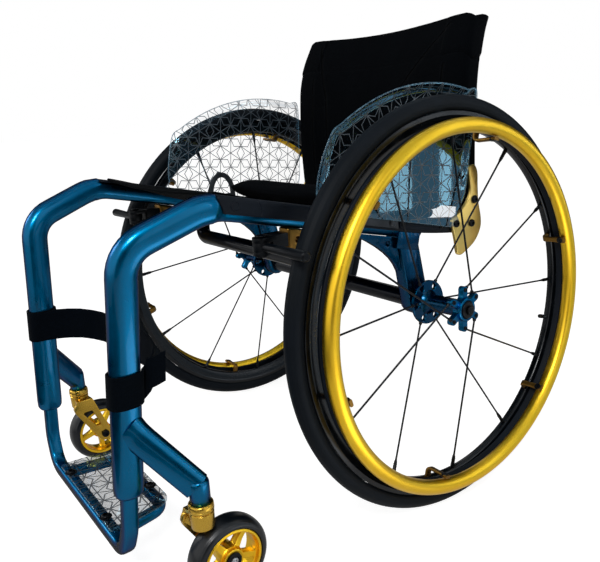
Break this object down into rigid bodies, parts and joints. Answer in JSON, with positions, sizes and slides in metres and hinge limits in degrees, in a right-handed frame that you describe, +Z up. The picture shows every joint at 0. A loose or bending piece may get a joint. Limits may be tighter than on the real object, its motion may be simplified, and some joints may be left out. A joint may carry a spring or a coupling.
{
  "type": "active wheelchair",
  "caption": "Rigid active wheelchair with a folding backrest, quick-release cambered rear wheels, hand rims, swivelling casters, wheel locks, side guards and a footrest.",
  "frame": {"origin": "on the floor, under the middle of the chair's overall length and width", "axes": "+X towards the sitter's left, -Y forward, +Z up"},
  "size_m": [0.6194, 0.7808, 0.703],
  "materials": {
    "frame_blue": "deep metallic blue lacquer, glossy",
    "dark_tube": "blue-black lacquer, glossy",
    "gold_anodised": "gold anodised, satin gloss",
    "black_metal": "black anodised, satin",
    "black_plastic": "moulded black plastic, fine grain",
    "tyre_rubber": "black rubber, slightly dusty",
    "black_cloth": "black woven cloth",
    "clear_sheet": "clear sheet with a frosted star lattice",
    "steel": "machined steel"
  },
  "bodies": {
    "frame": {"camber_tube": "dark_tube", "cross_bar": "dark_tube", "footrest_frame": "frame_blue", "footplate": "clear_sheet", "seat_sling": "black_cloth", "back_flap": "black_cloth", "calf_strap": "black_cloth", "side_frame_L": "frame_blue", "side_frame_R": "frame_blue", "caster_arm_L": "frame_blue", "caster_arm_R": "frame_blue", "rear_post_L": "frame_blue", "rear_post_R": "frame_blue", "seat_rail_L": "black_plastic", "seat_rail_R": "black_plastic", "back_bracket_L": "gold_anodised", "back_bracket_R": "gold_anodised", "back_pivot_bolt_L": "steel", "back_pivot_bolt_R": "steel", "side_guard_L": "clear_sheet", "side_guard_R": "clear_sheet", "guard_bracket_L": "black_metal", "guard_bracket_R": "black_metal", "brake_clamp_L": "gold_anodised", "brake_clamp_R": "gold_anodised", "brake_base_L": "black_metal", "brake_base_R": "black_metal", "brake_pin_L": "steel", "brake_pin_R": "steel"},
    "backrest": {"back_upholstery": "black_cloth", "back_cane_L": "frame_blue", "back_cane_R": "frame_blue"},
    "axle_L": {"wheel_axle_L": "steel"},
    "button_L": {"axle_button_L": "black_plastic"},
    "wheel_L": {"rear_tyre_L": "tyre_rubber", "rear_rim_L": "black_metal", "spoked_hub_L": "frame_blue", "handrim_L": "gold_anodised", "handrim_mounts_L": "black_plastic"},
    "caster_swivel_L": {"caster_collar_L": "gold_anodised", "caster_fork_L": "gold_anodised", "caster_bolt_L": "black_metal"},
    "caster_wheel_L": {"caster_rim_L": "gold_anodised", "caster_tyre_L": "tyre_rubber"},
    "brake_shoe_L": {"brake_shoe_L": "black_metal"},
    "brake_lever_L": {"brake_lever_L": "black_metal"},
    "axle_R": {"wheel_axle_R": "steel"},
    "button_R": {"axle_button_R": "black_plastic"},
    "wheel_R": {"rear_tyre_R": "tyre_rubber", "rear_rim_R": "black_metal", "spoked_hub_R": "frame_blue", "handrim_R": "gold_anodised", "handrim_mounts_R": "black_plastic"},
    "caster_swivel_R": {"caster_collar_R": "gold_anodised", "caster_fork_R": "gold_anodised", "caster_bolt_R": "black_metal"},
    "caster_wheel_R": {"caster_rim_R": "gold_anodised", "caster_tyre_R": "tyre_rubber"},
    "brake_shoe_R": {"brake_shoe_R": "black_metal"},
    "brake_lever_R": {"brake_lever_R": "black_metal"}
  },
  "joints": [
    {"name": "backrest_fold", "type": "hinge", "parent": "frame", "child": "backrest", "pos_m": [0, 0.20675, 0.43199], "axis": [1, 0, 0], "range_deg": [0, 72]},
    {"name": "axle_release_L", "type": "slide", "parent": "frame", "child": "axle_L", "axis": [0.9989, 0, 0.0471], "range_m": [0, 0.13]},
    {"name": "button_press_L", "type": "slide", "parent": "axle_L", "child": "button_L", "axis": [-0.9989, 0, -0.0471], "range_m": [0, 0.004], "stiffness_N_per_m": 500},
    {"name": "wheel_spin_L", "type": "hinge", "parent": "axle_L", "child": "wheel_L", "pos_m": [0.256, 0.09575, 0.2947], "axis": [0.9989, 0, 0.0471], "continuous": true},
    {"name": "caster_swivel_L", "type": "hinge", "parent": "frame", "child": "caster_swivel_L", "pos_m": [0.2185, -0.30925, 0.14], "axis": [0, 0, 1], "continuous": true},
    {"name": "caster_spin_L", "type": "hinge", "parent": "caster_swivel_L", "child": "caster_wheel_L", "pos_m": [0.2185, -0.28125, 0.053], "axis": [1, 0, 0], "continuous": true},
    {"name": "brake_lever_turn_L", "type": "hinge", "parent": "frame", "child": "brake_lever_L", "pos_m": [0.19, -0.17925, 0.41344], "axis": [0, 0, 1], "range_deg": [0, 45]},
    {"name": "brake_shoe_turn_L", "type": "hinge", "parent": "frame", "child": "brake_shoe_L", "pos_m": [0.19, -0.17925, 0.42174], "axis": [0, 0, -1], "range_deg": [0, 90]},
    {"name": "axle_release_R", "type": "slide", "parent": "frame", "child": "axle_R", "axis": [-0.9989, 0, 0.0471], "range_m": [0, 0.13]},
    {"name": "button_press_R", "type": "slide", "parent": "axle_R", "child": "button_R", "axis": [0.9989, 0, -0.0471], "range_m": [0, 0.004], "stiffness_N_per_m": 500},
    {"name": "wheel_spin_R", "type": "hinge", "parent": "axle_R", "child": "wheel_R", "pos_m": [-0.256, 0.09575, 0.2947], "axis": [-0.9989, 0, 0.0471], "continuous": true},
    {"name": "caster_swivel_R", "type": "hinge", "parent": "frame", "child": "caster_swivel_R", "pos_m": [-0.2185, -0.30925, 0.14], "axis": [0, 0, 1], "continuous": true},
    {"name": "caster_spin_R", "type": "hinge", "parent": "caster_swivel_R", "child": "caster_wheel_R", "pos_m": [-0.2185, -0.28125, 0.053], "axis": [1, 0, 0], "continuous": true},
    {"name": "brake_lever_turn_R", "type": "hinge", "parent": "frame", "child": "brake_lever_R", "pos_m": [-0.19, -0.17925, 0.41344], "axis": [0, 0, -1], "range_deg": [0, 45]},
    {"name": "brake_shoe_turn_R", "type": "hinge", "parent": "frame", "child": "brake_shoe_R", "pos_m": [-0.19, -0.17925, 0.42174], "axis": [0, 0, 1], "range_deg": [0, 90]}
  ],
  "couplings": [
    {"joint": "brake_shoe_turn_L", "follows": "brake_lever_turn_L", "ratio": 2},
    {"joint": "brake_shoe_turn_R", "follows": "brake_lever_turn_R", "ratio": 2}
  ]
}
